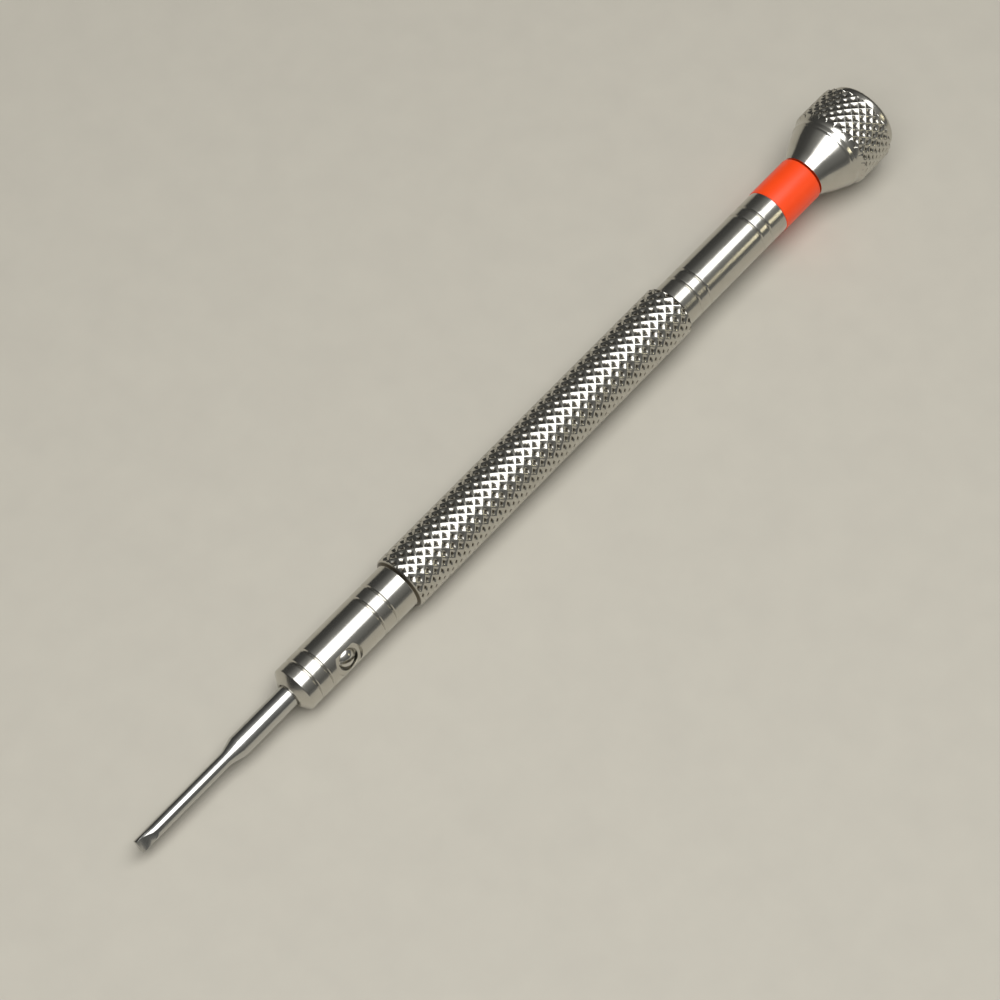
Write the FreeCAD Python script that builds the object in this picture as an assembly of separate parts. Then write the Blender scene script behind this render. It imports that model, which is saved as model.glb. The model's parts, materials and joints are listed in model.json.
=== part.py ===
import FreeCAD, Part
import math
import os

from FreeCAD import Vector

# Watchmaker's screwdriver with a clamped blade and a free-turning finger head on a ball bearing.
#
# Millimetres. The tool's axis lies along X. Every station below is a distance along the axis
# from the blade's edge. The finished parts are moved so that the origin is the bottom centre
# of the tool's box, with +X towards the head and +Z up.

# ---- Driving dimensions ----------------------------------------------------------------------
TOOL_LENGTH = 90.0            # blade's edge to the head's rim
BLADE_WIDTH = 1.20            # the nominal size that a red ring stands for
TUBE_DIAMETER = 4.20
GRIP_DIAMETER = 5.00          # over the crests of the knurl
HEAD_DIAMETER = 7.70          # over the crests of the knurl

# Blade
TIP_THICKNESS = 0.22
CHISEL_LENGTH = 1.72
CHISEL_ANGLE = 53.0           # degrees from +Z towards -Y, the way that one flat faces
NECK_END = 9.8
SHANK_START = 11.0
SHANK_RADIUS = 0.965
BLADE_END = 28.0

# Handle barrel
NOSE_FACE = 16.85
NOSE_FACE_RADIUS = 1.30
NOSE_FULL = 17.45             # station where the nose reaches the tube's diameter
BORE_RADIUS = 1.00
GRIP_START = 29.55
GRIP_END = 63.85
GRIP_CHAMFER = 0.30
RING_START = 76.85
SPIGOT_RADIUS = 1.55          # carries the colour ring
SPIGOT_END = 81.30
GROOVE_STATIONS = (18.6, 19.9, 25.95, 27.3, 65.5, 66.7, 73.8, 74.95)
GROOVE_WIDTH = 0.26
GROOVE_DEPTH = 0.12
SPINDLE_BORE_START = 69.0

# Clamp screw, across the barrel
CLAMP_STATION = 21.95
CLAMP_ANGLE = 66.0            # degrees from +Z towards -Y
SPOT_FACE_RADIUS = 1.37
SPOT_FACE_HEIGHT = 1.85       # distance of the milled flat from the tool's axis
SCREW_POCKET_RADIUS = 0.98
SCREW_POCKET_FLOOR = 1.50
SCREW_HEAD_RADIUS = 0.86
SCREW_HEAD_BOTTOM = 1.56
SCREW_HEAD_EDGE = 1.62
SCREW_HEAD_TOP = 2.09
SCREW_THREAD_RADIUS = 0.60
SCREW_SLOT_WIDTH = 0.28
SCREW_SLOT_DEPTH = 0.42
SCREW_SLOT_ANGLE = -14.0      # degrees round the screw, from along the tool's axis

# Colour ring
RING_RADIUS = 2.15
RING_END = 81.45
RING_ROUND = 0.18

# Spindle that carries the head
STEM_RADIUS = 0.90
COLLAR_RADIUS = 1.40
COLLAR_END = 83.20
WASHER_THICKNESS = 0.15
JOURNAL_RADIUS = 1.00
JOURNAL_END = 85.80
SPINDLE_SCREW_RADIUS = 0.50
SPINDLE_SCREW_TIP = 84.10
SPINDLE_SCREW_HEAD_RADIUS = 1.35
SPINDLE_SCREW_HEAD_HEIGHT = 0.60

# Miniature ball bearing, 2 x 5 x 2.5
BEARING_START = COLLAR_END + WASHER_THICKNESS
BEARING_WIDTH = 2.50
BEARING_END = BEARING_START + BEARING_WIDTH
BEARING_OUTER_RADIUS = 2.50
INNER_LAND_RADIUS = 1.42
OUTER_LAND_RADIUS = 2.08
BALL_COUNT = 7
BALL_RADIUS = 0.40
BALL_CIRCLE_RADIUS = 1.75
TRACK_RADIUS = 0.42
CAGE_WIDTH = 1.10
CAGE_INNER_RADIUS = 1.58
CAGE_OUTER_RADIUS = 1.92
CAGE_POCKET_RADIUS = 0.43
SHIELD_INSET = 0.10
SHIELD_THICKNESS = 0.12
SHIELD_INNER_RADIUS = 1.50
SHIELD_SEAT_RADIUS = 2.18

# Head
HEAD_START = 81.60
HEAD_START_RADIUS = 2.10
FLARE_KNOTS = ((82.2, 2.34), (82.9, 2.70), (83.6, 3.03))
FLARE_END = (84.35, 3.32)
BAND_RADIUS = 3.48
BAND_START = 84.50
BAND_END = 85.00
KNURL_START = 85.50
KNURL_END = 89.00
LAND_START = 89.12
LAND_END = 89.58
LAND_RADIUS = 3.45
RIM_RADIUS = 3.16
HEAD_HOLE_RADIUS = 1.55
HEAD_HOLE_END = 82.90
HEAD_RELIEF_RADIUS = 2.00
CAP_SEAT = 86.90
CAP_RADIUS = 3.10
CAP_EDGE = 89.88
DISH_DEPTH = 0.55
DISH_RADIUS = 2.85
SNAP_GROOVE_START = 85.87
SNAP_GROOVE_WIDTH = 0.25
SNAP_GROOVE_RADIUS = 2.70
SNAP_RING_THICKNESS = 0.22
SNAP_RING_RADII = (2.15, 2.68)
SNAP_RING_GAP = 40.0          # degrees left open

AXIS_START = Vector(0, 0, 0)
ALONG = Vector(1, 0, 0)
MOVE_TO_ORIGIN = Vector(-TOOL_LENGTH / 2, 0, HEAD_DIAMETER / 2)


# ---- Helpers ---------------------------------------------------------------------------------
def point(station, radius):
    """Point of a turned outline, drawn in the X-Z plane."""
    return Vector(station, 0, radius)


def turned(*corners):
    """Solid turned about the tool's axis from an outline of (station, radius) corners.

    A corner given as ((through), (end)) ends an arc that passes through the first of the pair.
    """
    edges = []
    here = point(*corners[0])
    for corner in corners[1:] + corners[:1]:
        if isinstance(corner[0], tuple):
            through, corner = corner
            there = point(*corner)
            edges.append(Part.Arc(here, point(*through), there).toShape())
        else:
            there = point(*corner)
            edges.append(Part.LineSegment(here, there).toShape())
        here = there
    return Part.Face(Part.Wire(edges)).revolve(AXIS_START, ALONG, 360)


def disc(start, end, radius):
    """Plain cylinder on the tool's axis."""
    return Part.makeCylinder(radius, end - start, Vector(start, 0, 0), ALONG)


def tube(start, end, inner, outer):
    """Plain ring on the tool's axis."""
    return disc(start, end, outer).cut(disc(start, end, inner))


def groove_cutter(station):
    """V groove round the barrel's tube, a little proud of the surface so that it cuts cleanly."""
    surface = TUBE_DIAMETER / 2
    proud = 0.05
    half = GROOVE_WIDTH / 2 * (1 + proud / GROOVE_DEPTH)
    return turned(
        (station - half, surface + proud),
        (station, surface - GROOVE_DEPTH),
        (station + half, surface + proud),
    )


def across(shape):
    """Turn a shape built upright at station 0 so that it points out along the clamp screw."""
    shape = shape.copy()
    shape.rotate(AXIS_START, ALONG, CLAMP_ANGLE)
    shape.translate(Vector(CLAMP_STATION, 0, 0))
    return shape


def upright(bottom, top, radius):
    """Cylinder at station 0 standing along Z between two heights."""
    return Part.makeCylinder(radius, top - bottom, Vector(0, 0, bottom))


def slot_cutter(width, bottom, top, length=4.0):
    """Box for a screw slot at station 0, its floor at bottom, running along X."""
    return Part.makeBox(length, width, top - bottom, Vector(-length / 2, -width / 2, bottom))


# ---- Blade, clamp screw and barrel -----------------------------------------------------------
def make_blade():
    """Round steel blade: chisel edge, thin neck, cone and a thicker shank held in the barrel."""
    neck = BLADE_WIDTH / 2
    chamfer = 0.2
    blade = turned(
        (0, 0),
        (0, neck),
        (NECK_END, neck),
        (SHANK_START, SHANK_RADIUS),
        (BLADE_END - chamfer, SHANK_RADIUS),
        (BLADE_END, SHANK_RADIUS - chamfer),
        (BLADE_END, 0),
    )
    slope = (neck - TIP_THICKNESS / 2) / CHISEL_LENGTH
    run = 2.0
    outline = Part.makePolygon([
        Vector(-run, -run, TIP_THICKNESS / 2 - slope * run),
        Vector(run, -run, TIP_THICKNESS / 2 + slope * run),
        Vector(run, -run, run),
        Vector(-run, -run, run),
        Vector(-run, -run, TIP_THICKNESS / 2 - slope * run),
    ])
    flat = Part.Face(outline).extrude(Vector(0, 2 * run, 0))
    for side in (0, 180):
        cutter = flat.copy()
        cutter.rotate(AXIS_START, ALONG, CHISEL_ANGLE + side)
        blade = blade.cut(cutter)
    return blade


def make_clamp_screw():
    """Slotted screw across the barrel: its thread's end presses on the blade's shank."""
    dome_through = (SCREW_HEAD_RADIUS * 0.55, SCREW_HEAD_TOP - 0.115)
    thread_end = SHANK_RADIUS + 0.005
    outline = [
        Vector(0, 0, thread_end),
        Vector(SCREW_THREAD_RADIUS, 0, thread_end),
        Vector(SCREW_THREAD_RADIUS, 0, SCREW_HEAD_BOTTOM),
        Vector(SCREW_HEAD_RADIUS, 0, SCREW_HEAD_BOTTOM),
        Vector(SCREW_HEAD_RADIUS, 0, SCREW_HEAD_EDGE),
    ]
    top = Vector(0, 0, SCREW_HEAD_TOP)
    edges = [Part.LineSegment(a, b).toShape() for a, b in zip(outline, outline[1:])]
    edges.append(Part.Arc(outline[-1], Vector(dome_through[0], 0, dome_through[1]), top).toShape())
    edges.append(Part.LineSegment(top, outline[0]).toShape())
    screw = Part.Face(Part.Wire(edges)).revolve(AXIS_START, Vector(0, 0, 1), 360)
    slot = slot_cutter(SCREW_SLOT_WIDTH, SCREW_HEAD_TOP - SCREW_SLOT_DEPTH, SCREW_HEAD_TOP + 0.5)
    slot.rotate(AXIS_START, Vector(0, 0, 1), SCREW_SLOT_ANGLE)
    return across(screw.cut(slot))


def make_handle_barrel():
    """One turned bar: nose, front tube, grip, rear tube and the spigot for the colour ring."""
    tube_r = TUBE_DIAMETER / 2
    grip_r = GRIP_DIAMETER / 2
    barrel = turned(
        (NOSE_FACE, 0),
        (NOSE_FACE, NOSE_FACE_RADIUS),
        (NOSE_FULL, tube_r),
        (GRIP_START, tube_r),
        (GRIP_START + GRIP_CHAMFER, grip_r),
        (GRIP_END - GRIP_CHAMFER, grip_r),
        (GRIP_END, tube_r),
        (RING_START, tube_r),
        (RING_START, SPIGOT_RADIUS),
        (SPIGOT_END, SPIGOT_RADIUS),
        (SPIGOT_END, 0),
    )
    for station in GROOVE_STATIONS:
        barrel = barrel.cut(groove_cutter(station))
    # The blade's bore ends in a flat floor that takes the thrust of the blade.
    mouth = 0.08
    barrel = barrel.cut(turned(
        (NOSE_FACE - 1, 0),
        (NOSE_FACE - 1, BORE_RADIUS + mouth),
        (NOSE_FACE, BORE_RADIUS + mouth),
        (NOSE_FACE + mouth, BORE_RADIUS),
        (BLADE_END, BORE_RADIUS),
        (BLADE_END, 0),
    ))
    barrel = barrel.cut(disc(SPINDLE_BORE_START - 0.5, SPIGOT_END + 1, STEM_RADIUS))
    # Spot face, pocket and tapped hole of the clamp screw.
    barrel = barrel.cut(across(upright(SPOT_FACE_HEIGHT, 3.0, SPOT_FACE_RADIUS)))
    barrel = barrel.cut(across(upright(SCREW_POCKET_FLOOR, 3.0, SCREW_POCKET_RADIUS)))
    return barrel.cut(across(upright(0, 3.0, SCREW_THREAD_RADIUS + 0.015)))


def make_colour_ring():
    """Moulded plastic ring pressed on the spigot, with rounded outer edges."""
    ring = tube(RING_START, RING_END, SPIGOT_RADIUS, RING_RADIUS)
    outer_edges = []
    for edge in ring.Edges:
        is_circle = isinstance(edge.Curve, Part.Circle)
        if is_circle and abs(edge.Curve.Radius - RING_RADIUS) < 0.001:
            outer_edges.append(edge)
    return ring.makeFillet(RING_ROUND, outer_edges)


# ---- Spindle, its washer and its screw -------------------------------------------------------
def make_spindle():
    """Stem pressed in the barrel, a collar outside it and a journal for the bearing."""
    spindle = turned(
        (SPINDLE_BORE_START, 0),
        (SPINDLE_BORE_START, STEM_RADIUS - 0.15),
        (SPINDLE_BORE_START + 0.15, STEM_RADIUS),
        (SPIGOT_END, STEM_RADIUS),
        (SPIGOT_END, COLLAR_RADIUS),
        (COLLAR_END, COLLAR_RADIUS),
        (COLLAR_END, JOURNAL_RADIUS),
        (JOURNAL_END, JOURNAL_RADIUS),
        (JOURNAL_END, 0),
    )
    return spindle.cut(disc(SPINDLE_SCREW_TIP - 0.2, JOURNAL_END + 1, SPINDLE_SCREW_RADIUS))


def make_spindle_screw():
    """Small slotted screw that clamps the bearing's inner race on the journal."""
    top = BEARING_END + SPINDLE_SCREW_HEAD_HEIGHT
    chamfer = 0.12
    screw = turned(
        (SPINDLE_SCREW_TIP, 0),
        (SPINDLE_SCREW_TIP, SPINDLE_SCREW_RADIUS),
        (BEARING_END, SPINDLE_SCREW_RADIUS),
        (BEARING_END, SPINDLE_SCREW_HEAD_RADIUS),
        (top - chamfer, SPINDLE_SCREW_HEAD_RADIUS),
        (top, SPINDLE_SCREW_HEAD_RADIUS - chamfer),
        (top, 0),
    )
    slot = slot_cutter(0.30, -0.28, 0.5)
    slot.rotate(AXIS_START, Vector(0, 1, 0), 90)
    slot.translate(Vector(top, 0, 0))
    return screw.cut(slot)


# ---- Ball bearing ----------------------------------------------------------------------------
def ball_track():
    """Ring of round section that both races are hollowed by."""
    middle = BEARING_START + BEARING_WIDTH / 2
    return Part.makeTorus(BALL_CIRCLE_RADIUS, TRACK_RADIUS, Vector(middle, 0, 0), ALONG)


def ball_centres():
    """The balls' centres, evenly spaced on their circle."""
    middle = BEARING_START + BEARING_WIDTH / 2
    for index in range(BALL_COUNT):
        angle = 2 * math.pi * index / BALL_COUNT
        yield Vector(
            middle,
            BALL_CIRCLE_RADIUS * math.sin(angle),
            BALL_CIRCLE_RADIUS * math.cos(angle),
        )


def make_inner_race():
    race = tube(BEARING_START, BEARING_END, JOURNAL_RADIUS, INNER_LAND_RADIUS)
    return race.cut(ball_track())


def make_outer_race():
    """Outer race, with a shallow seat for a shield at each end."""
    race = tube(BEARING_START, BEARING_END, OUTER_LAND_RADIUS, BEARING_OUTER_RADIUS)
    race = race.cut(ball_track())
    depth = SHIELD_INSET + SHIELD_THICKNESS
    race = race.cut(disc(BEARING_START - 1, BEARING_START + depth, SHIELD_SEAT_RADIUS))
    return race.cut(disc(BEARING_END - depth, BEARING_END + 1, SHIELD_SEAT_RADIUS))


def make_shield(start):
    return tube(start, start + SHIELD_THICKNESS, SHIELD_INNER_RADIUS, SHIELD_SEAT_RADIUS)


def make_cage():
    """Brass ring with a round pocket for each ball."""
    middle = BEARING_START + BEARING_WIDTH / 2
    cage = tube(
        middle - CAGE_WIDTH / 2,
        middle + CAGE_WIDTH / 2,
        CAGE_INNER_RADIUS,
        CAGE_OUTER_RADIUS,
    )
    for centre in ball_centres():
        cage = cage.cut(Part.makeSphere(CAGE_POCKET_RADIUS, centre))
    return cage


# ---- Head ------------------------------------------------------------------------------------
def make_head_shell():
    """Flared cup: cone, plain band, knurled band and rounded rim, bored for bearing and cap."""
    crest = HEAD_DIAMETER / 2
    rim_through = (LAND_END + 0.28, LAND_RADIUS - 0.07)
    flare = [point(HEAD_START, HEAD_START_RADIUS)]
    flare += [point(*knot) for knot in FLARE_KNOTS]
    flare.append(point(*FLARE_END))
    curve = Part.BSplineCurve()
    curve.interpolate(flare)
    edges = [curve.toShape()]
    corners = [
        FLARE_END,
        (BAND_START, BAND_RADIUS),
        (BAND_END, BAND_RADIUS),
        (KNURL_START, crest),
        (KNURL_END, crest),
        (LAND_START, LAND_RADIUS),
        (LAND_END, LAND_RADIUS),
    ]
    for a, b in zip(corners, corners[1:]):
        edges.append(Part.LineSegment(point(*a), point(*b)).toShape())
    rim_start = point(LAND_END, LAND_RADIUS)
    rim_end = point(TOOL_LENGTH, RIM_RADIUS)
    edges.append(Part.Arc(rim_start, point(*rim_through), rim_end).toShape())
    closing = [
        (TOOL_LENGTH, RIM_RADIUS),
        (TOOL_LENGTH, 0),
        (HEAD_START, 0),
        (HEAD_START, HEAD_START_RADIUS),
    ]
    for a, b in zip(closing, closing[1:]):
        edges.append(Part.LineSegment(point(*a), point(*b)).toShape())
    shell = Part.Face(Part.Wire(edges)).revolve(AXIS_START, ALONG, 360)
    shell = shell.cut(disc(HEAD_START - 1, HEAD_HOLE_END + 0.1, HEAD_HOLE_RADIUS))
    shell = shell.cut(disc(HEAD_HOLE_END, BEARING_START + 0.1, HEAD_RELIEF_RADIUS))
    shell = shell.cut(disc(BEARING_START, CAP_SEAT + 0.1, BEARING_OUTER_RADIUS))
    groove_end = SNAP_GROOVE_START + SNAP_GROOVE_WIDTH
    shell = shell.cut(disc(SNAP_GROOVE_START, groove_end, SNAP_GROOVE_RADIUS))
    return shell.cut(disc(CAP_SEAT, TOOL_LENGTH + 1, CAP_RADIUS))


def make_snap_ring():
    """Open spring ring that keeps the bearing in the head."""
    start = SNAP_GROOVE_START + 0.01
    inner, outer = SNAP_RING_RADII
    ring = tube(start, start + SNAP_RING_THICKNESS, inner, outer)
    half = math.radians(SNAP_RING_GAP / 2)
    reach = 4.0
    wedge = Part.Face(Part.makePolygon([
        Vector(start - 1, 0, 0),
        Vector(start - 1, reach * math.sin(half), reach * math.cos(half)),
        Vector(start - 1, -reach * math.sin(half), reach * math.cos(half)),
        Vector(start - 1, 0, 0),
    ])).extrude(Vector(3, 0, 0))
    return ring.cut(wedge)


def make_finger_cap():
    """Cap pressed in the head's end, dished for a fingertip."""
    sphere_radius = (DISH_RADIUS ** 2 + DISH_DEPTH ** 2) / (2 * DISH_DEPTH)
    centre = Vector(CAP_EDGE - DISH_DEPTH + sphere_radius, 0, 0)
    return disc(CAP_SEAT, CAP_EDGE, CAP_RADIUS).cut(Part.makeSphere(sphere_radius, centre))


# ---- Every part under its own name -----------------------------------------------------------
shield_starts = {
    "front_shield": BEARING_START + SHIELD_INSET,
    "rear_shield": BEARING_END - SHIELD_INSET - SHIELD_THICKNESS,
}
parts = {
    "handle_barrel": make_handle_barrel(),
    "clamp_screw": make_clamp_screw(),
    "blade": make_blade(),
    "colour_ring": make_colour_ring(),
    "pivot_spindle": make_spindle(),
    "spindle_washer": tube(COLLAR_END, BEARING_START, JOURNAL_RADIUS, COLLAR_RADIUS),
    "spindle_screw": make_spindle_screw(),
    "inner_race": make_inner_race(),
    "outer_race": make_outer_race(),
    "bearing_cage": make_cage(),
    "snap_ring": make_snap_ring(),
    "head_shell": make_head_shell(),
    "finger_cap": make_finger_cap(),
}
for name, start in shield_starts.items():
    parts[name] = make_shield(start)
for number, centre in enumerate(ball_centres(), start=1):
    parts[f"ball_{number}"] = Part.makeSphere(BALL_RADIUS, centre)

os.makedirs("parts", exist_ok=True)
for name, shape in parts.items():
    shape = shape.copy()
    shape.translate(MOVE_TO_ORIGIN)
    shape.exportStep(f"parts/{name}.step")
    print(f"{name:16s} solids {len(shape.Solids)} valid {shape.isValid()} volume {shape.Volume:.3f}")
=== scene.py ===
# %% [markdown]
# # A watchmaker's screwdriver
#
# The tool is about as long as a finger. A round blade is held in a plated metal handle by a
# tiny clamp screw. Behind the knurled grip sits a plastic ring whose colour tells the blade's
# size, and behind that a flared head that turns freely on a ball bearing, so that a fingertip
# can press on it while the thumb and the middle finger turn the grip.
#
# The finished mechanical model is loaded first. It is a fixed frame: it says where every piece
# is, and nothing in it is moved. The pieces that a person sees are then modelled again on top
# of it, finely enough for a close look.

# %% Load the frame
import json
import math

import bpy
from mathutils import Matrix, Vector


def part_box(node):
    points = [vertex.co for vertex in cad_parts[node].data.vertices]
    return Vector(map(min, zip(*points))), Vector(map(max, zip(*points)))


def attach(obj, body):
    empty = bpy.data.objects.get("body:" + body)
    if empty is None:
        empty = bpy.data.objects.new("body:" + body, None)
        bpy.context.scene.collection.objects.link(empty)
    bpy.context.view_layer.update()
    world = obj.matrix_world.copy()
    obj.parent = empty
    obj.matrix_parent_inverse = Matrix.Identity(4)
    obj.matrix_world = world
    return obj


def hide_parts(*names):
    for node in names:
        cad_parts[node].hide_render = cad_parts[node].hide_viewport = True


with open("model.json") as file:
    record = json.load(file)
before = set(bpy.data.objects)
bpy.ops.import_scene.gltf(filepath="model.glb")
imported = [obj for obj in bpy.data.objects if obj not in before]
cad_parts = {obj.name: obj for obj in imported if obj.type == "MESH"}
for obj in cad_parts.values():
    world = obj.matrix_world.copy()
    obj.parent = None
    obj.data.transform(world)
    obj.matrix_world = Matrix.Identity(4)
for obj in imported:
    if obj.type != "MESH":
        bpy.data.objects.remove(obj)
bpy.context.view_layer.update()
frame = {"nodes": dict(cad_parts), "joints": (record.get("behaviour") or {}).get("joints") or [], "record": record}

print("pieces in the frame:", len(frame["nodes"]))

# %% [markdown]
# ## Measures
#
# Lengths are easier to think about in millimetres, while Blender works in metres, so one
# factor turns one into the other. Turned work is described by stations, which are distances
# along the tool's axis from the blade's edge, and by radii.

# %% Measures taken from the frame
MM = 0.001

joints = {joint["name"]: joint for joint in frame["joints"]}
mounts = {mount["name"]: mount for mount in frame["record"]["mounts"]}
tip_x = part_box("blade")[0].x
axis_z = joints["head_swivel"]["pos_m"][2]


def on_axis(station):
    """Point of the tool's axis at a station in millimetres."""
    return Vector((tip_x + station * MM, 0, axis_z))


def outer_radius(node):
    """Largest radius of a turned node, in millimetres."""
    low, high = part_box(node)
    return (high.y - low.y) / 2 / MM


def stations(node):
    """First and last station of a node, in millimetres."""
    low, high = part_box(node)
    return (low.x - tip_x) / MM, (high.x - tip_x) / MM


tube_radius = mounts["stand_pin"]["dims"]["r_mm"]
grip_radius = outer_radius("handle_barrel")
head_radius = outer_radius("head_shell")
tool_length = stations("head_shell")[1]
print(f"tube {tube_radius:.2f}, grip {grip_radius:.2f}, head {head_radius:.2f} mm in radius")
print(f"length {tool_length:.1f} mm")

# %% [markdown]
# ## Hand tools
#
# Nearly every piece of this tool was made on a lathe, so the most useful helper works like
# one. It starts from a circle primitive and pulls it along the axis ring by ring: extrude to
# the next station, then scale the ring to the next radius. Everything is deselected first,
# because an operator acts on whatever is selected.

# %% A lathe made of extrude and scale
SEGMENTS = 192


def select_none():
    """Leave nothing selected, in object mode."""
    if bpy.context.object and bpy.context.object.mode != "OBJECT":
        bpy.ops.object.mode_set(mode="OBJECT")
    bpy.ops.object.select_all(action="DESELECT")


def make_active(piece):
    """Select one piece alone."""
    select_none()
    piece.select_set(True)
    bpy.context.view_layer.objects.active = piece


def arc(centre, radius, start, end, steps):
    """Outline points on an arc, from start to end in degrees; 0 points along the tool."""
    points = []
    for step in range(steps + 1):
        angle = math.radians(start + (end - start) * step / steps)
        points.append((centre[0] + radius * math.cos(angle), centre[1] + radius * math.sin(angle)))
    return points


def turn(name, outline, segments=SEGMENTS, open_ring=False):
    """Turn a piece from (station, radius) points; an open ring has a hole right through it."""
    select_none()
    station, radius = outline[0]
    bpy.ops.mesh.primitive_circle_add(
        vertices=segments,
        radius=radius * MM,
        fill_type="NOTHING" if open_ring else "NGON",
        location=on_axis(station),
        rotation=(0, math.pi / 2, 0),
    )
    piece = bpy.context.object
    piece.name = piece.data.name = name
    bpy.ops.object.transform_apply(location=True, rotation=True, scale=True)
    bpy.ops.object.mode_set(mode="EDIT")
    bpy.ops.mesh.select_all(action="SELECT")
    for next_station, next_radius in outline[1:]:
        step = (next_station - station) * MM
        bpy.ops.mesh.extrude_region_move(TRANSFORM_OT_translate={"value": (step, 0, 0)})
        if next_radius == 0:
            bpy.ops.mesh.merge(type="CENTER")
            break
        scale = next_radius / radius
        bpy.ops.transform.resize(
            value=(1, scale, scale),
            center_override=on_axis(next_station),
        )
        station, radius = next_station, next_radius
    bpy.ops.mesh.select_all(action="SELECT")
    bpy.ops.mesh.remove_doubles(threshold=1e-7)
    bpy.ops.mesh.normals_make_consistent(inside=False)
    bpy.ops.object.mode_set(mode="OBJECT")
    return piece


def report(piece):
    """Print what a piece measures."""
    box = [piece.matrix_world @ Vector(corner) for corner in piece.bound_box]
    size = [(max(p[i] for p in box) - min(p[i] for p in box)) / MM for i in range(3)]
    triangles = sum(len(face.vertices) - 2 for face in piece.data.polygons)
    print(f"{piece.name}: {size[0]:.2f} x {size[1]:.2f} x {size[2]:.2f} mm, {triangles} triangles")


# %% [markdown]
# A milling cutter is the second hand tool: a Boolean modifier that takes one closed shape from
# another, or keeps only what two shapes share. The modifier is applied at once, so that the
# result is plain mesh, and the cutter is thrown away.

# %% Boolean cuts and finishing
SMOOTH_ANGLE = math.radians(25)


def cut(piece, cutter, operation="DIFFERENCE"):
    """Cut a piece with a closed cutter, then delete the cutter."""
    modifier = piece.modifiers.new("cut", "BOOLEAN")
    modifier.operation = operation
    modifier.object = cutter
    modifier.solver = "EXACT"
    make_active(piece)
    bpy.ops.object.modifier_apply(modifier=modifier.name)
    bpy.data.objects.remove(cutter, do_unlink=True)


def place(piece, matrix):
    """Put a piece where a matrix says, and keep that place in its mesh."""
    piece.matrix_world = matrix @ piece.matrix_world
    make_active(piece)
    bpy.ops.object.transform_apply(location=True, rotation=True, scale=True)


def smooth(piece, angle=SMOOTH_ANGLE):
    """Shade a piece smooth, but keep its edges crisp."""
    make_active(piece)
    bpy.ops.object.shade_smooth_by_angle(angle=angle)


def soften_edges(piece, width, angle=35.0):
    """Break the sharp edges of a piece with a small bevel, as a maker does with a stone."""
    modifier = piece.modifiers.new("soften", "BEVEL")
    modifier.width = width * MM
    modifier.segments = 2
    modifier.limit_method = "ANGLE"
    modifier.angle_limit = math.radians(angle)
    modifier.use_clamp_overlap = True
    make_active(piece)
    bpy.ops.object.modifier_apply(modifier=modifier.name)


def select_edges(piece, wanted):
    """In edit mode, select the edges whose two end points pass a test."""
    bpy.ops.object.mode_set(mode="EDIT")
    bpy.ops.mesh.select_mode(type="EDGE")
    bpy.ops.mesh.select_all(action="DESELECT")
    bpy.ops.object.mode_set(mode="OBJECT")
    mesh = piece.data
    for edge in mesh.edges:
        first, second = (mesh.vertices[index].co for index in edge.vertices)
        edge.select = wanted(first, second)
    bpy.ops.object.mode_set(mode="EDIT")


def radius_of(point):
    """Distance of a mesh point from the tool's axis, in millimetres."""
    return math.hypot(point.y, point.z - axis_z) / MM


def station_of(point):
    """Station of a mesh point, in millimetres."""
    return (point.x - tip_x) / MM


# %% [markdown]
# ## The knurl
#
# A knurl is a pattern that two hard wheels press into a turning bar, one leaning left and one
# leaning right. This one is a net of crossing ridges round small sunken diamonds.
#
# It could be faked with a bump texture, but the light plays on its slopes and it shows in the
# tool's outline, so it is modelled. A tube gets as many sides as there are ridges of one lean.
# Its faces are poked, which gives each one a centre point, and its old edges are dissolved,
# which leaves diamonds. Each diamond is then inset several times, a little deeper each time,
# so that a rounded ridge is left between neighbours. The result is a long rod with a knurled
# stretch that works as a mould: the smooth turned piece is kept only where it lies inside it.

# %% A knurled rod
def knurled_rod(name, start, pitch, rows, ridges, crest, pit, plain, reach):
    """Closed rod, knurled between two plain stretches; pit lists (width, drop) of each inset."""
    end = start + pitch * rows
    outline = [(reach[0], plain), (start - 0.12, plain)]
    outline += [(start + pitch * row, crest) for row in range(rows + 1)]
    outline += [(end + 0.12, plain), (reach[1], plain)]
    rod = turn(name, outline, segments=ridges)
    mesh = rod.data

    def is_knurled(indices):
        return all(start - 0.01 < station_of(mesh.vertices[i].co) < end + 0.01 for i in indices)

    def select_faces(sides):
        bpy.ops.object.mode_set(mode="EDIT")
        bpy.ops.mesh.select_mode(type="FACE")
        bpy.ops.mesh.select_all(action="DESELECT")
        bpy.ops.object.mode_set(mode="OBJECT")
        for face in mesh.polygons:
            face.select = len(face.vertices) == sides and is_knurled(face.vertices)
        count = sum(face.select for face in mesh.polygons)
        bpy.ops.object.mode_set(mode="EDIT")
        return count

    old_edges = set()
    for edge in mesh.edges:
        middle = sum((station_of(mesh.vertices[i].co) for i in edge.vertices)) / 2
        if start + 0.01 < middle < end - 0.01:
            old_edges.add(tuple(sorted(edge.vertices)))
    select_faces(4)
    sagitta = crest * (1 - math.cos(math.pi / ridges))
    bpy.ops.mesh.poke(offset=sagitta * MM)
    bpy.ops.mesh.select_mode(type="EDGE")
    bpy.ops.mesh.select_all(action="DESELECT")
    bpy.ops.object.mode_set(mode="OBJECT")
    for edge in mesh.edges:
        edge.select = tuple(sorted(edge.vertices)) in old_edges
    bpy.ops.object.mode_set(mode="EDIT")
    bpy.ops.mesh.dissolve_edges(use_verts=False)

    pits = select_faces(4)
    for width, drop in pit:
        bpy.ops.mesh.inset(thickness=width * MM, depth=-drop * MM, use_individual=True)
    bpy.ops.object.mode_set(mode="OBJECT")
    print(f"{name}: {pits} sunken diamonds")
    return rod


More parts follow.
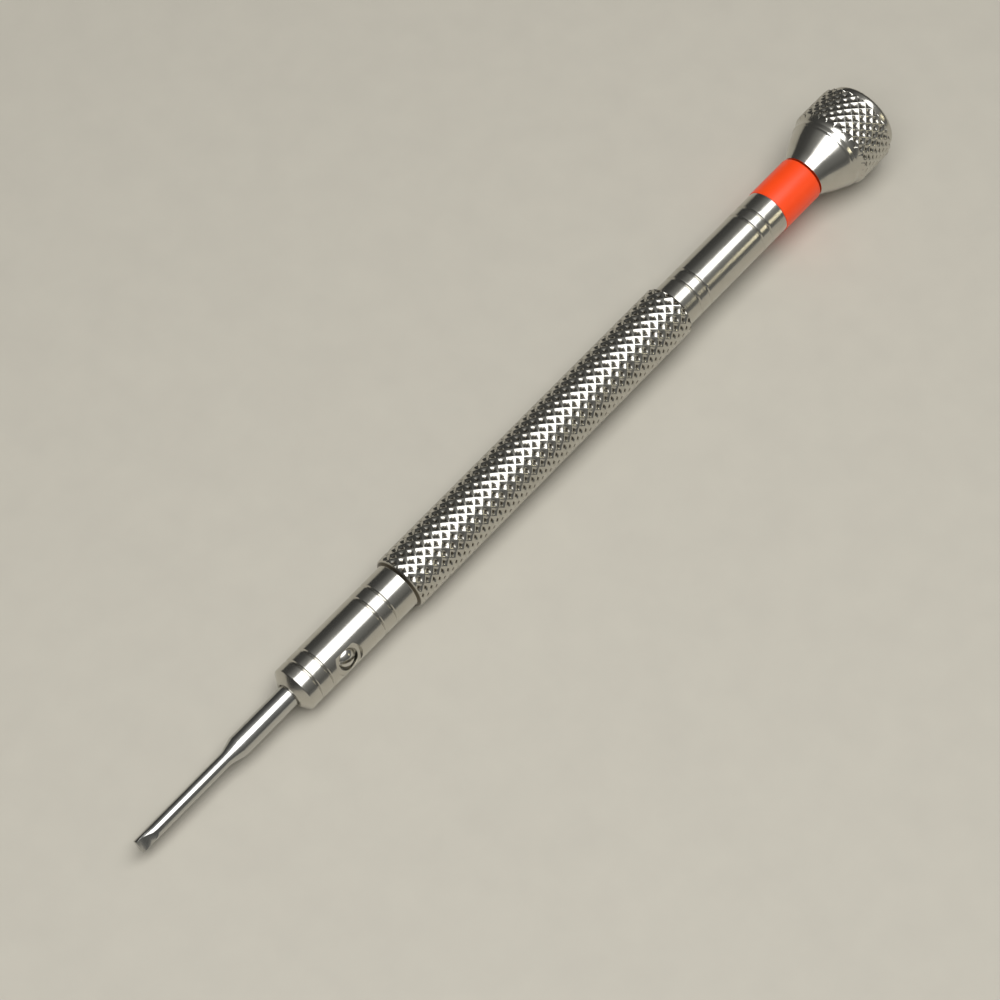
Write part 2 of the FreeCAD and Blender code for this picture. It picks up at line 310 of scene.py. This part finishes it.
def smooth_knurl(piece, start, end, lowest):
    """Let the shading run smoothly over the knurl's small slopes."""
    def on_knurl(first, second):
        return all(
            start < station_of(point) < end and radius_of(point) > lowest
            for point in (first, second)
        )

    make_active(piece)
    select_edges(piece, on_knurl)
    bpy.ops.mesh.mark_sharp(clear=True)
    bpy.ops.object.mode_set(mode="OBJECT")


# %% [markdown]
# ## The handle barrel
#
# One bar of brass was turned, bored, knurled and nickel plated. Its blank is turned here in
# one go: from the floor of the blade's bore out to the mouth, round the nose, back along the
# tube over its pairs of decorative V grooves and the chamfered grip, over the thinner spigot
# that carries the colour ring, and into the bore for the spindle. Around the clamp screw it
# gets extra rings, so that the cut faces there stay small and shade well.

# %% Turn the barrel's blank
NOSE_FACE, NOSE_FULL, NOSE_FACE_RADIUS = 16.85, 17.45, 1.30
BLADE_BORE_RADIUS, BLADE_END = 1.00, stations("blade")[1]
GRIP_START, GRIP_END, GRIP_CHAMFER = 29.55, 63.85, 0.30
RING_START, RING_END = stations("colour_ring")
SPIGOT_RADIUS, SPIGOT_END = 1.55, stations("handle_barrel")[1]
SPINDLE_BORE_RADIUS, SPINDLE_BORE_START = 0.90, 68.5
V_GROOVES = (18.6, 19.9, 25.95, 27.3, 65.5, 66.7, 73.8, 74.95)
V_GROOVE_WIDTH, V_GROOVE_DEPTH = 0.26, 0.12
CLAMP_STATION = (joints["clamp_screw_turn"]["pos_m"][0] - tip_x) / MM


def v_groove(station, radius):
    """Outline of one V groove with slightly rounded lips.

    The outermost point on each side keeps the long tube beside it straight in the shading.
    """
    half, lip, keeper = V_GROOVE_WIDTH / 2, 0.03, 0.04
    return [
        (station - half - lip - keeper, radius),
        (station - half - lip, radius),
        (station - half, radius - 0.008),
        (station - 0.02, radius - V_GROOVE_DEPTH),
        (station + 0.02, radius - V_GROOVE_DEPTH),
        (station + half, radius - 0.008),
        (station + half + lip, radius),
        (station + half + lip + keeper, radius),
    ]


barrel_outline = [
    (BLADE_END, BLADE_BORE_RADIUS),
    (NOSE_FACE + 0.08, BLADE_BORE_RADIUS),
    (NOSE_FACE, BLADE_BORE_RADIUS + 0.08),
    (NOSE_FACE, NOSE_FACE_RADIUS - 0.04),
    (NOSE_FACE + 0.03, NOSE_FACE_RADIUS),
    (NOSE_FULL - 0.06, tube_radius - 0.07),
    (NOSE_FULL, tube_radius - 0.02),
    (NOSE_FULL + 0.08, tube_radius),
    (NOSE_FULL + 0.12, tube_radius),
]
for station in V_GROOVES[:2]:
    barrel_outline += v_groove(station, tube_radius)
barrel_outline += [(CLAMP_STATION + 0.2 * step, tube_radius) for step in range(-8, 9)]
for station in V_GROOVES[2:4]:
    barrel_outline += v_groove(station, tube_radius)
barrel_outline += [
    (GRIP_START - 0.06, tube_radius),
    (GRIP_START - 0.02, tube_radius),
    (GRIP_START, tube_radius + 0.02),
    (GRIP_START + GRIP_CHAMFER, grip_radius),
    (GRIP_END - GRIP_CHAMFER, grip_radius),
    (GRIP_END, tube_radius + 0.02),
    (GRIP_END + 0.02, tube_radius),
    (GRIP_END + 0.06, tube_radius),
]
for station in V_GROOVES[4:]:
    barrel_outline += v_groove(station, tube_radius)
barrel_outline += [
    (RING_START - 0.08, tube_radius),
    (RING_START - 0.04, tube_radius),
    (RING_START, tube_radius - 0.04),
    (RING_START, SPIGOT_RADIUS),
    (SPIGOT_END, SPIGOT_RADIUS),
    (SPIGOT_END, SPINDLE_BORE_RADIUS),
    (SPINDLE_BORE_START, SPINDLE_BORE_RADIUS),
]
barrel = turn("knurled_barrel", barrel_outline)
report(barrel)

# %% [markdown]
# The clamp screw sits in a flat that was milled across the tube, so that the flat looks like a
# lens: long along the tube and narrow across it. A pocket in its middle takes the screw's
# head, and a tapped hole goes on into the blade's bore. Each cutter is turned along the tool's
# axis, as every turned piece here is, and then swung round to point out along the screw.

# %% Mill the seat of the clamp screw
clamp_axis = Vector(joints["clamp_screw_turn"]["axis"])
clamp_side = clamp_axis.cross(Vector((1, 0, 0)))
SPOT_FACE_RADIUS, SPOT_FACE_HEIGHT = 1.37, 1.85
POCKET_RADIUS, POCKET_FLOOR = 0.98, 1.50
THREAD_RADIUS = 0.60


def swing_to_clamp(piece, turn_by=0.0):
    """Swing a piece made along the tool's axis at station 0 to stand on the clamp screw's."""
    axes = Matrix((clamp_axis, Vector((1, 0, 0)), clamp_side)).transposed().to_4x4()
    spin = Matrix.Rotation(math.radians(turn_by), 4, "X")
    matrix = Matrix.Translation(on_axis(CLAMP_STATION)) @ axes @ spin
    place(piece, matrix @ Matrix.Translation(-on_axis(0)))


for bottom, radius in (
    (SPOT_FACE_HEIGHT, SPOT_FACE_RADIUS),
    (POCKET_FLOOR, POCKET_RADIUS),
    (0.2, THREAD_RADIUS + 0.015),
):
    cutter = turn("milling_cutter", [(bottom, radius), (3.0, radius)], segments=96)
    swing_to_clamp(cutter)
    cut(barrel, cutter)
report(barrel)

# %% Knurl the grip
GRIP_PITCH, GRIP_RIDGES, GRIP_CREST = 1.00, 15, 2.49
GRIP_PIT = [(0.07, 0.010), (0.07, 0.030), (0.06, 0.040), (0.05, 0.045), (0.06, 0.065)]
grip_rod = knurled_rod(
    "grip_rod",
    start=GRIP_START - GRIP_PITCH,
    pitch=GRIP_PITCH,
    rows=math.ceil((GRIP_END - GRIP_START) / GRIP_PITCH) + 2,
    ridges=GRIP_RIDGES,
    crest=GRIP_CREST,
    pit=GRIP_PIT,
    plain=3.0,
    reach=(NOSE_FACE - 1, SPIGOT_END + 1),
)
report(grip_rod)
cut(barrel, grip_rod, "INTERSECT")
smooth(barrel)
smooth_knurl(barrel, GRIP_START + GRIP_CHAMFER, GRIP_END - GRIP_CHAMFER, tube_radius + 0.1)
report(barrel)
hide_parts("handle_barrel")
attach(barrel, "barrel")

# %% [markdown]
# ## The blade
#
# A hardened steel rod, ground thin at the front to fit between a watch's other parts, with a
# thicker shank that the handle's bore centres. It is turned, and its two flats are ground at
# the end: a bisect with a leaning plane does the same, and closes the face that it leaves.

# %% Turn the blade and grind its edge
BLADE_NECK, BLADE_SHANK = 0.60, 0.965
NECK_END, SHANK_START = 9.8, 11.0
EDGE_THICKNESS, CHISEL_LENGTH, CHISEL_ANGLE = 0.22, 1.72, 53.0

blade = turn("ground_blade", [
    (0.0, BLADE_NECK),
    (CHISEL_LENGTH + 0.1, BLADE_NECK),
    (NECK_END - 0.25, BLADE_NECK),
    (NECK_END, BLADE_NECK + 0.02),
    (NECK_END + 0.15, BLADE_NECK + 0.06),
    (SHANK_START - 0.12, BLADE_SHANK - 0.045),
    (SHANK_START, BLADE_SHANK - 0.012),
    (SHANK_START + 0.15, BLADE_SHANK),
    (BLADE_END - 0.2, BLADE_SHANK),
    (BLADE_END, BLADE_SHANK - 0.2),
], segments=128)
chisel_slope = (BLADE_NECK - EDGE_THICKNESS / 2) / CHISEL_LENGTH
for side in (1, -1):
    turned_to = math.radians(CHISEL_ANGLE)
    across = side * Vector((0, -math.sin(turned_to), math.cos(turned_to)))
    make_active(blade)
    bpy.ops.object.mode_set(mode="EDIT")
    bpy.ops.mesh.select_all(action="SELECT")
    bpy.ops.mesh.bisect(
        plane_co=on_axis(0) + across * EDGE_THICKNESS / 2 * MM,
        plane_no=across - Vector((chisel_slope, 0, 0)),
        use_fill=True,
        clear_outer=True,
    )
    bpy.ops.object.mode_set(mode="OBJECT")
soften_edges(blade, 0.012)
smooth(blade)
report(blade)
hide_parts("blade")
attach(blade, "blade")

# %% [markdown]
# ## The clamp screw
#
# A tiny slotted screw whose end presses on the blade's shank. Its head is slightly domed, so
# it catches the light as a small round spot.

# %% Turn and slot the clamp screw
HEAD_RADIUS_OF_SCREW, HEAD_BOTTOM, HEAD_EDGE, HEAD_TOP = 0.86, 1.56, 1.62, 2.09
SLOT_WIDTH, SLOT_DEPTH, SLOT_ANGLE = 0.28, 0.42, -14.0

dome_rise = HEAD_TOP - HEAD_EDGE
dome_radius = (HEAD_RADIUS_OF_SCREW ** 2 + dome_rise ** 2) / (2 * dome_rise)
dome_half_angle = math.degrees(math.asin(HEAD_RADIUS_OF_SCREW / dome_radius))
dome = arc((HEAD_TOP - dome_radius, 0), dome_radius, dome_half_angle, 0, 10)
clamp_screw = turn("clamp_screw_body", [
    (BLADE_SHANK + 0.005, THREAD_RADIUS),
    (HEAD_BOTTOM, THREAD_RADIUS),
    (HEAD_BOTTOM, HEAD_RADIUS_OF_SCREW),
] + dome[:-1] + [(HEAD_TOP, 0)], segments=96)
select_none()
bpy.ops.mesh.primitive_cube_add(
    size=1,
    location=on_axis(HEAD_TOP - SLOT_DEPTH + 0.25),
    scale=Vector((0.5, 4.0, SLOT_WIDTH)) * MM,
)
slot_cutter = bpy.context.object
swing_to_clamp(slot_cutter, turn_by=SLOT_ANGLE)
swing_to_clamp(clamp_screw)
cut(clamp_screw, slot_cutter)
soften_edges(clamp_screw, 0.018)
smooth(clamp_screw)
report(clamp_screw)
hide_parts("clamp_screw")
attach(clamp_screw, "clamp_screw")

# %% [markdown]
# ## The colour ring
#
# A moulded plastic ring, pushed on the spigot before the spindle was pressed in. A hollow ring
# is turned as an open circle whose outline comes back to where it began, so that it closes on
# itself like a doughnut.

# %% Turn the ring
RING_ROUND = 0.18
ring_radius = outer_radius("colour_ring")
colour_ring = turn("size_ring", [
    (RING_START, SPIGOT_RADIUS),
    (RING_START, ring_radius - 0.06),
    (RING_START + 0.02, ring_radius - 0.02),
    (RING_START + 0.06, ring_radius),
    *arc((RING_END - RING_ROUND, ring_radius - RING_ROUND), RING_ROUND, 90, 0, 6),
    (RING_END, SPIGOT_RADIUS),
    (RING_START, SPIGOT_RADIUS),
], open_ring=True)
smooth(colour_ring)
report(colour_ring)
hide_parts("colour_ring")
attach(colour_ring, "barrel")

# %% [markdown]
# ## The head
#
# A cup that flares out from the ring, carries a narrow plain band and a knurled band, and ends
# in a rounded rim. It is hollow: a bearing sits inside it, and its free end is closed by a
# dished cap for the fingertip. The cup is turned as a closed loop, inside and outside in one
# outline, and then knurled with the same kind of rod as the grip.

# %% Turn the cup
HEAD_START, HEAD_START_RADIUS = stations("head_shell")[0], 2.10
FLARE = [(82.2, 2.34), (82.9, 2.70), (83.6, 3.03), (84.35, 3.32)]
BAND_START, BAND_END, BAND_RADIUS = 84.50, 85.00, 3.48
HEAD_KNURL_START, HEAD_KNURL_END = 85.50, 89.00
CAP_SEAT, CAP_RADIUS = 86.90, outer_radius("finger_cap")
BEARING_RADIUS, BEARING_START = outer_radius("outer_race"), stations("outer_race")[0]


def smooth_curve(knots, steps):
    """Points on a smooth curve through knots, which bends evenly from one to the next."""
    points = []
    ends = [knots[0]] + list(knots) + [knots[-1]]
    for index in range(len(knots) - 1):
        before, start, stop, after = (Vector(p) for p in ends[index:index + 4])
        for step in range(steps):
            t = step / steps
            points.append(tuple(0.5 * (
                2 * start
                + (stop - before) * t
                + (2 * before - 5 * start + 4 * stop - after) * t ** 2
                + (3 * start - before - 3 * stop + after) * t ** 3
            )))
    return points + [tuple(knots[-1])]


flare = smooth_curve([(HEAD_START, HEAD_START_RADIUS)] + FLARE, 6)
rim = [(HEAD_KNURL_END, 3.85), (89.03, 3.80), (89.10, 3.42), (89.13, 3.435), (89.18, 3.445),
       (89.54, 3.445), *arc((89.62, 3.065), 0.38, 90, 12, 8), (89.96, CAP_RADIUS)]
shoulder = [(BAND_END, BAND_RADIUS)]
for slope in (22, 29, 35, 41, 46):
    station, radius = shoulder[-1]
    shoulder.append((station + 0.1, radius + 0.1 * math.tan(math.radians(slope))))
head_shell = turn("knurled_head", [
    (HEAD_START, 1.55),
    (HEAD_START, HEAD_START_RADIUS - 0.04),
    (HEAD_START + 0.01, HEAD_START_RADIUS),
    *flare[1:],
    (84.46, 3.38),
    (84.50, 3.425),
    (84.55, 3.455),
    (84.62, 3.475),
    (84.70, BAND_RADIUS),
    (84.96, BAND_RADIUS),
    *shoulder,
    (HEAD_KNURL_START + 0.06, head_radius),
    *rim,
    (CAP_SEAT, CAP_RADIUS),
    (CAP_SEAT, BEARING_RADIUS),
    (86.12, BEARING_RADIUS),
    (86.12, 2.70),
    (85.87, 2.70),
    (85.87, BEARING_RADIUS),
    (BEARING_START, BEARING_RADIUS),
    (BEARING_START, 2.00),
    (82.90, 2.00),
    (82.90, 1.55),
    (HEAD_START, 1.55),
], segments=SEGMENTS, open_ring=True)
report(head_shell)

# %% Knurl the head
HEAD_PITCH, HEAD_RIDGES, HEAD_CREST = 0.93, 27, 3.84
HEAD_PIT = [(0.03, 0.006), (0.06, 0.026), (0.07, 0.045), (0.07, 0.060), (0.06, 0.060)]
head_rod = knurled_rod(
    "head_rod",
    start=HEAD_KNURL_END - 4.5 * HEAD_PITCH,
    pitch=HEAD_PITCH,
    rows=5,
    ridges=HEAD_RIDGES,
    crest=HEAD_CREST,
    pit=HEAD_PIT,
    plain=4.5,
    reach=(HEAD_START - 1, tool_length + 1),
)
report(head_rod)
cut(head_shell, head_rod, "INTERSECT")
smooth(head_shell)
smooth_knurl(head_shell, HEAD_KNURL_START, HEAD_KNURL_END, BAND_RADIUS + 0.1)
report(head_shell)
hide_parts("head_shell")
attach(head_shell, "head")

# %% [markdown]
# The cap that closes the head is a plain disc, dished like a shallow saucer so that the
# fingertip finds its middle. The dish was cut with a form tool, and is part of a sphere.

# %% Turn the finger cap
CAP_EDGE, DISH_RADIUS = stations("finger_cap")[1], 2.85
DISH_DEPTH = 0.55
dish_ball = (DISH_RADIUS ** 2 + DISH_DEPTH ** 2) / (2 * DISH_DEPTH)
dish_half_angle = math.degrees(math.asin(DISH_RADIUS / dish_ball))
dish_centre = (CAP_EDGE - DISH_DEPTH + dish_ball, 0)
dish = arc(dish_centre, dish_ball, 180 - dish_half_angle, 180, 16)
finger_cap = turn("dished_cap", [
    (CAP_SEAT, CAP_RADIUS),
    (CAP_EDGE - 0.06, CAP_RADIUS),
    (CAP_EDGE - 0.02, CAP_RADIUS - 0.02),
    (CAP_EDGE, CAP_RADIUS - 0.06),
    (CAP_EDGE, DISH_RADIUS + 0.05),
    *dish[:-1],
    (CAP_EDGE - DISH_DEPTH, 0),
])
smooth(finger_cap)
report(finger_cap)
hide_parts("finger_cap")
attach(finger_cap, "head")

# %% [markdown]
# ## Finishes
#
# Each finish starts from what the real surface is and how it was made. Colours are written as
# sRGB hex values, as a paint chart or a picture editor gives them, and one function turns them
# into the linear values that the renderer works in.

# %% Helpers for the finishes
def colour(hex_value):
    """Linear colour with alpha from an sRGB hex value such as #C9C7C1."""
    channels = [int(hex_value[i:i + 2], 16) / 255 for i in (1, 3, 5)]
    linear = [c / 12.92 if c <= 0.04045 else ((c + 0.055) / 1.055) ** 2.4 for c in channels]
    return (*linear, 1.0)


def new_finish(name, base, metallic, roughness):
    """Material with a Principled shader, and its main values."""
    finish = bpy.data.materials.new(name)
    finish.use_nodes = True
    shader = finish.node_tree.nodes["Principled BSDF"]
    shader.inputs["Base Color"].default_value = colour(base)
    shader.inputs["Metallic"].default_value = metallic
    shader.inputs["Roughness"].default_value = roughness
    return finish, shader


def add_node(tree, kind, settings=None, inputs=None):
    """Add a node with its settings; an input is a value, or another node's output socket."""
    node = tree.nodes.new("ShaderNode" + kind)
    for key, value in (settings or {}).items():
        setattr(node, key, value)
    for key, value in (inputs or {}).items():
        if isinstance(value, bpy.types.NodeSocket):
            tree.links.new(value, node.inputs[key])
        else:
            node.inputs[key].default_value = value
    return node


# %% [markdown]
# ### Turned and plated brass
#
# Nickel plating copies the surface under it: fine rings from the turning tool, polished until
# they barely show, and over them faint smears from handling. The rings run round the axis, so
# they come from a one-dimensional noise that reads only the distance along the tool. Real
# rings are about 0.03 mm apart; here they are 0.12 mm apart, so that they show at all. The
# bottom of a knurl is darker and duller: it keeps some dirt, and its pits get painted shade.

# %% Nickel plate
def plated_finish(name, base, roughness, knurl):
    """Polished nickel plate; knurl gives first and last station, and root and crest radius of the dirt and painted
    shade in its pits.
    """
    finish, shader = new_finish(name, base, 1.0, roughness)
    tree = finish.node_tree
    place_on_piece = add_node(tree, "TexCoord").outputs["Object"]
    from_axis = add_node(tree, "Mapping", None, {
        "Vector": place_on_piece, "Location": (-tip_x, 0, -axis_z)}).outputs[0]
    parts = add_node(tree, "SeparateXYZ", None, {0: from_axis})
    flat = add_node(tree, "VectorMath", {"operation": "MULTIPLY"}, {0: from_axis, 1: (0, 1, 1)})
    radius = add_node(tree, "VectorMath", {"operation": "LENGTH"}, {0: flat.outputs[0]})
    rings = add_node(tree, "TexNoise", {"noise_dimensions": "1D"}, {
        "W": parts.outputs["X"], "Scale": 1 / (0.12 * MM), "Detail": 3.0, "Roughness": 0.6})
    smears = add_node(tree, "TexNoise", None, {
        "Vector": from_axis, "Scale": 1 / (1.6 * MM), "Detail": 5.0, "Distortion": 0.6})

    start, end, root, crest = knurl
    after = add_node(tree, "Math", {"operation": "GREATER_THAN"}, {
        0: parts.outputs["X"], 1: start * MM})
    before = add_node(tree, "Math", {"operation": "LESS_THAN"}, {
        0: parts.outputs["X"], 1: end * MM})
    depth = add_node(tree, "MapRange", {"interpolation_type": "SMOOTHSTEP"}, {
        "Value": radius.outputs["Value"], "From Min": crest * MM, "From Max": root * MM})
    inside = add_node(tree, "Math", {"operation": "MULTIPLY"}, {
        0: after.outputs[0], 1: before.outputs[0]})
    # The deeper a point lies in the knurl's pits, the darker it is painted: partly dirt, partly painted shade.
    dirt_and_painted_shade = add_node(tree, "Math", {"operation": "MULTIPLY"}, {
        0: inside.outputs[0], 1: depth.outputs[0]})

    plate = add_node(tree, "Mix", {"data_type": "RGBA"}, {
        0: smears.outputs["Fac"], 6: colour(base), 7: colour("#BDBAB1")})
    # The dark colour here is dirt and painted shade in the knurl's pits.
    painted = add_node(tree, "Mix", {"data_type": "RGBA"}, {
        0: dirt_and_painted_shade.outputs[0], 6: plate.outputs[2], 7: colour("#5E584D")})
    tree.links.new(painted.outputs[2], shader.inputs["Base Color"])

    worn = add_node(tree, "MapRange", None, {
        "Value": smears.outputs["Fac"], "From Min": 0.3, "From Max": 0.7,
        "To Min": roughness - 0.03, "To Max": roughness + 0.05})
    dull = add_node(tree, "Math", {"operation": "MULTIPLY_ADD"}, {
        0: dirt_and_painted_shade.outputs[0], 1: 0.2, 2: worn.outputs[0]})
    tree.links.new(dull.outputs[0], shader.inputs["Roughness"])

    bump = add_node(tree, "Bump", None, {
        "Strength": 1.0, "Distance": 0.0015 * MM, "Height": rings.outputs["Fac"]})
    tree.links.new(bump.outputs[0], shader.inputs["Normal"])
    return finish


def dress(piece, finish):
    """Give a piece one finish on all its faces."""
    piece.data.materials.clear()
    piece.data.materials.append(finish)


NICKEL = "#CFCDC7"
dress(barrel, plated_finish(
    "polished_nickel_plate_on_barrel", NICKEL, 0.16, (GRIP_START, GRIP_END, GRIP_CREST - 0.18, GRIP_CREST - 0.09)))
dress(head_shell, plated_finish(
    "polished_nickel_plate_on_head", NICKEL, 0.16,
    (HEAD_KNURL_START, HEAD_KNURL_END, HEAD_CREST - 0.18, HEAD_CREST - 0.09)))
dress(finger_cap, plated_finish(
    "satin_nickel_plate_on_cap", NICKEL, 0.24, (0, 1, 1.0, 1.1)))

# %% [markdown]
# ### Ground steel
#
# Hardened steel was ground on a wheel, so it has fine lines round the rod, and on the chisel
# flats lines across them. It is a little bluer and less bright than nickel.

# %% Steels
def steel_finish(name, base, roughness, line_spacing):
    """Ground steel with fine lines round its axis and faint stains."""
    finish, shader = new_finish(name, base, 1.0, roughness)
    tree = finish.node_tree
    place_on_piece = add_node(tree, "TexCoord").outputs["Object"]
    parts = add_node(tree, "SeparateXYZ", None, {0: place_on_piece})
    lines = add_node(tree, "TexNoise", {"noise_dimensions": "1D"}, {
        "W": parts.outputs["X"], "Scale": 1 / (line_spacing * MM), "Detail": 4.0})
    stains = add_node(tree, "TexNoise", None, {
        "Vector": place_on_piece, "Scale": 1 / (0.8 * MM), "Detail": 6.0})
    spread = add_node(tree, "MapRange", None, {
        "Value": stains.outputs["Fac"], "From Min": 0.3, "From Max": 0.7,
        "To Min": roughness - 0.03, "To Max": roughness + 0.06})
    tree.links.new(spread.outputs[0], shader.inputs["Roughness"])
    bump = add_node(tree, "Bump", None, {
        "Strength": 1.0, "Distance": 0.0015 * MM, "Height": lines.outputs["Fac"]})
    tree.links.new(bump.outputs[0], shader.inputs["Normal"])
    return finish


dress(blade, steel_finish("ground_hardened_steel", "#C4C3BF", 0.18, 0.1))
dress(clamp_screw, steel_finish("polished_screw_steel", "#CECCC6", 0.16, 0.2))
node_finishes = {
    "spindle_screw": steel_finish("polished_screw_steel_inside", "#CECCC6", 0.2, 0.2),
    "pivot_spindle": steel_finish("turned_free_cutting_steel", "#BDBCB8", 0.25, 0.08),
    "inner_race": steel_finish("lapped_bearing_steel", "#C9C9C7", 0.12, 0.05),
    "ball_1": steel_finish("lapped_ball_steel", "#D2D2D0", 0.05, 0.3),
    "bearing_cage": steel_finish("stamped_brass", "#D9B766", 0.22, 0.1),
    "snap_ring": steel_finish("blued_spring_steel", "#3E4654", 0.3, 0.15),
}
same_finish = {
    "spindle_washer": "pivot_spindle",
    "outer_race": "inner_race",
    "front_shield": "inner_race",
    "rear_shield": "inner_race",
    **{f"ball_{number}": "ball_1" for number in range(2, 8)},
}
for node, like in same_finish.items():
    node_finishes[node] = node_finishes[like]
for node, finish in node_finishes.items():
    for material_slot in frame["nodes"][node].material_slots:
        material_slot.material = finish
print("finishes on the pieces inside:", len(node_finishes))

# %% [markdown]
# ### Moulded plastic
#
# The ring is a glossy thermoplastic such as ABS, coloured all through. Moulding leaves it very
# slightly uneven, so its shine is soft at the edges.

# %% Ring plastic
ring_finish, ring_shader = new_finish("moulded_orange_red_plastic", "#FA4A12", 0.0, 0.38)
ring_shader.inputs["IOR"].default_value = 1.53
# The faint orange emission is painted light: the ring glows a little, though it is no lamp, so that its shaded
# side stays vivid.
ring_shader.inputs["Emission Color"].default_value = colour("#FF4A08")
ring_shader.inputs["Emission Strength"].default_value = 0.08
tree = ring_finish.node_tree
place_on_piece = add_node(tree, "TexCoord").outputs["Object"]
mottle = add_node(tree, "TexNoise", None, {
    "Vector": place_on_piece, "Scale": 1 / (0.9 * MM), "Detail": 4.0})
shade = add_node(tree, "Mix", {"data_type": "RGBA"}, {
    0: mottle.outputs["Fac"], 6: colour("#FF4E16"), 7: colour("#F54510")})
tree.links.new(shade.outputs[2], ring_shader.inputs["Base Color"])
skin = add_node(tree, "TexNoise", None, {
    "Vector": place_on_piece, "Scale": 1 / (0.15 * MM), "Detail": 2.0})
bump = add_node(tree, "Bump", None, {
    "Strength": 1.0, "Distance": 0.001 * MM, "Height": skin.outputs["Fac"]})
tree.links.new(bump.outputs[0], ring_shader.inputs["Normal"])
dress(colour_ring, ring_finish)

# %% [markdown]
# ## Camera, floor and light
#
# The camera looks steeply down on the tool as it lies on a table. The head is thicker than the
# grip, so the tool rests on the head and on the front edge of the grip, and the table slopes a
# little against the tool's axis.

# %% The camera
camera_right = Vector((0.65623, -0.75442, -0.01470)).normalized()
camera_ahead = Vector((0.35785, 0.32832, -0.87416)).normalized()
camera_up = camera_right.cross(camera_ahead).normalized()
camera_ahead = camera_up.cross(camera_right).normalized()
camera_data = bpy.data.cameras.new("camera")
camera_data.sensor_width = 36.0
camera_data.lens = 108.0
camera_data.clip_start = 0.01
camera = bpy.data.objects.new("camera", camera_data)
bpy.context.scene.collection.objects.link(camera)
turned_to = Matrix((camera_right, camera_up, -camera_ahead)).transposed().to_4x4()
camera.matrix_world = Matrix.Translation(on_axis(0) + Vector((-46.18, -80.85, 212.38)) * MM) @ turned_to
bpy.context.scene.camera = camera

# %% The floor
table_slope = (head_radius - grip_radius) / (HEAD_KNURL_START - GRIP_START - GRIP_CHAMFER)
select_none()
bpy.ops.mesh.primitive_plane_add(
    size=3.0,
    location=(on_axis(HEAD_KNURL_START).x, 0, 0),
    rotation=(0, math.atan(table_slope), 0),
)
table = bpy.context.object
table.name = "table"
bpy.ops.object.transform_apply(location=True, rotation=True, scale=True)
table_finish, table_shader = new_finish("matt_pale_laminate", "#C0BBAE", 0.0, 0.6)
tree = table_finish.node_tree
grain = add_node(tree, "TexNoise", None, {
    "Vector": add_node(tree, "TexCoord").outputs["Object"], "Scale": 1 / (3 * MM), "Detail": 8.0})
tone = add_node(tree, "Mix", {"data_type": "RGBA"}, {
    0: grain.outputs["Fac"], 6: colour("#C4BFB2"), 7: colour("#BCB7AB")})
tree.links.new(tone.outputs[2], table_shader.inputs["Base Color"])
dress(table, table_finish)

# %% [markdown]
# A wide softbox hangs over the tool and a dim room surrounds it. Polished metal shows its
# surroundings more than itself, so the room matters: bright overhead, darker towards the walls,
# and a little brighter on the side of the camera. A small warm lamp far to one side gives the
# yellow sparkles on the head.

# %% The lights
SOFTBOX_TILT = 8.5
SOFTBOX_SIZE = (0.56, 0.262)
SOFTBOX_SHIFT = -0.04
SOFTBOX_HEIGHT = 0.3
SOFTBOX_RADIANCE = 2.9


def add_light(name, size, radiance, place_of, aim, tint="#FFFFFF"):
    """Oval area light of a given brightness, aimed at a point."""
    data = bpy.data.lights.new(name, "AREA")
    data.shape = "ELLIPSE"
    data.size, data.size_y = size
    data.energy = radiance * math.pi * size[0] * size[1] * math.pi / 4
    data.color = colour(tint)[:3]
    light = bpy.data.objects.new(name, data)
    bpy.context.scene.collection.objects.link(light)
    back = (place_of - aim).normalized()
    side = (Vector((1, 0, 0)) - back * back.x).normalized()
    turned_to = Matrix((side, back.cross(side), back)).transposed().to_4x4()
    light.matrix_world = Matrix.Translation(place_of) @ turned_to
    return light


tilt = math.radians(SOFTBOX_TILT)
add_light("softbox", SOFTBOX_SIZE, SOFTBOX_RADIANCE,
          Vector((0, -math.sin(tilt), math.cos(tilt))) * SOFTBOX_HEIGHT + Vector((SOFTBOX_SHIFT, 0, 0)),
          Vector((SOFTBOX_SHIFT, 0, 0)))
head_middle = on_axis(87)
lamp_direction = Vector((0.495, -0.775, 0.393)).normalized()
add_light("warm_lamp", (0.05, 0.17), 3.2, head_middle + lamp_direction * 0.6, head_middle, "#FFF6D4")

world = bpy.data.worlds.new("room")
bpy.context.scene.world = world
world.use_nodes = True
tree = world.node_tree
direction = add_node(tree, "SeparateXYZ", None, {0: add_node(tree, "TexCoord").outputs["Generated"]})


def room_side(stops):
    """Brightness of the room from straight up, 1, to level, 0, as a colour ramp."""
    ramp = add_node(tree, "ValToRGB", None, {0: direction.outputs["Z"]})
    elements = ramp.color_ramp.elements
    elements[0].position, elements[1].position = stops[0][0], stops[-1][0]
    for position, value in stops[1:-1]:
        elements.new(position)
    for element, (position, value) in zip(elements, stops):
        element.color = (value, value, value * 0.96, 1)
    return ramp.outputs[0]


far_side = room_side([(0.0, 0.06), (0.34, 0.067), (0.6, 0.09), (0.73, 0.17), (0.84, 0.24), (1.0, 0.45)])
near_side = room_side([(0.0, 0.20), (0.22, 0.11), (0.39, 0.16), (0.64, 0.22), (0.8, 0.30), (1.0, 0.45)])
which_side = add_node(tree, "MapRange", None, {
    "Value": direction.outputs["Y"], "From Min": 0.1, "From Max": -0.1})
both = add_node(tree, "Mix", {"data_type": "RGBA"}, {0: which_side.outputs[0], 6: far_side, 7: near_side})
tree.links.new(both.outputs[2], tree.nodes["Background"].inputs["Color"])
bpy.context.scene.view_settings.view_transform = "Standard"
